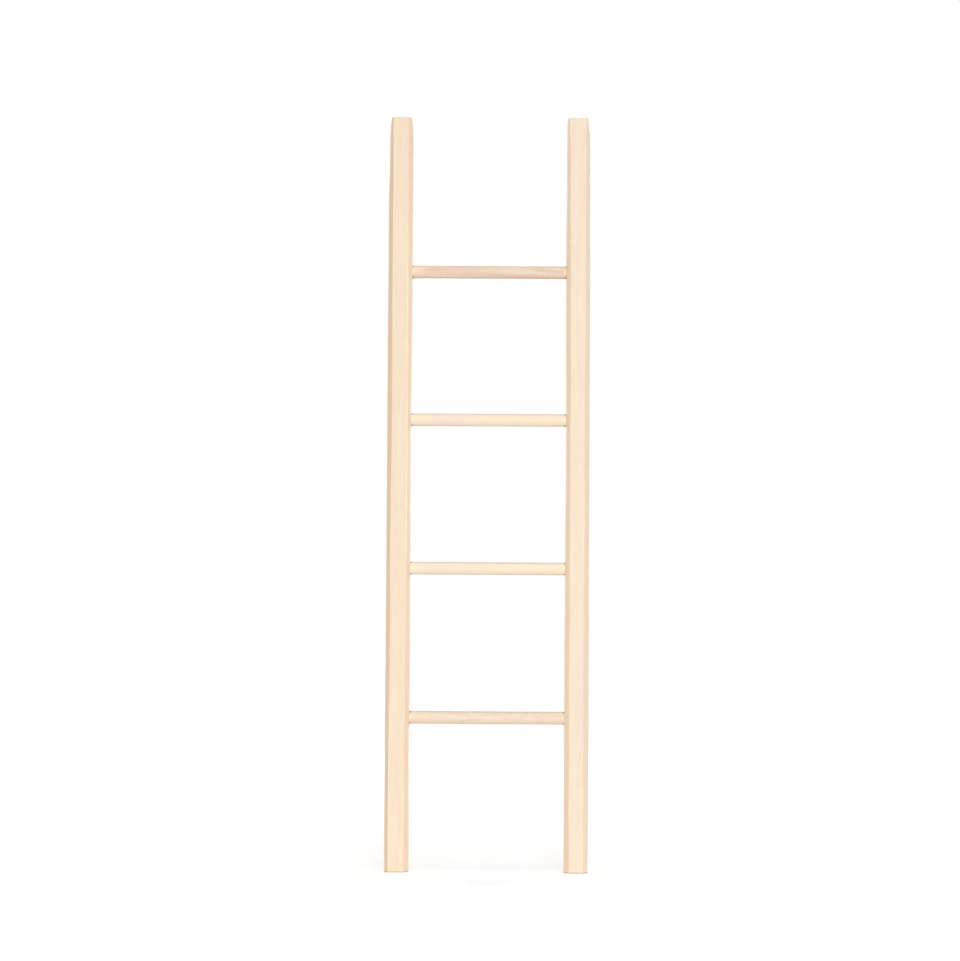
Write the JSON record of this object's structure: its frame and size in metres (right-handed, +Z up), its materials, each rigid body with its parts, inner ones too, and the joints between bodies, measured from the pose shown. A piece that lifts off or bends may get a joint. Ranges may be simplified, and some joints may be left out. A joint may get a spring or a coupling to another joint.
{
  "type": "blanket ladder",
  "caption": "Wooden leaning blanket ladder: bevelled square side rails joined by round rungs, for hanging throws and towels.",
  "frame": {"origin": "on the floor, midway between the two rails and midway through their depth", "axes": "+Z up the ladder along the rails; +X from the left rail to the right rail as seen from the front; the front faces -Y and the wall side faces +Y"},
  "size_m": [0.403, 0.048, 1.5],
  "materials": {
    "rail_wood": "pale planed softwood under a clear matt finish",
    "rung_wood": "pale turned dowel under a clear matt finish",
    "plug_wood": "pale side-grain plug sanded flush",
    "screw_steel": "zinc plated",
    "pad_rubber": "matt pale crepe rubber sheet"
  },
  "bodies": {
    "root": {"side_rail_left": "rail_wood", "side_rail_right": "rail_wood", "rung_1": "rung_wood", "rung_2": "rung_wood", "rung_3": "rung_wood", "rung_4": "rung_wood", "rung_screw_1_left": "screw_steel", "rung_screw_2_left": "screw_steel", "rung_screw_3_left": "screw_steel", "rung_screw_4_left": "screw_steel", "rung_screw_1_right": "screw_steel", "rung_screw_2_right": "screw_steel", "rung_screw_3_right": "screw_steel", "rung_screw_4_right": "screw_steel", "screw_plug_1_left": "plug_wood", "screw_plug_2_left": "plug_wood", "screw_plug_3_left": "plug_wood", "screw_plug_4_left": "plug_wood", "screw_plug_1_right": "plug_wood", "screw_plug_2_right": "plug_wood", "screw_plug_3_right": "plug_wood", "screw_plug_4_right": "plug_wood", "foot_pad_left": "pad_rubber", "foot_pad_right": "pad_rubber"}
  },
  "joints": []
}
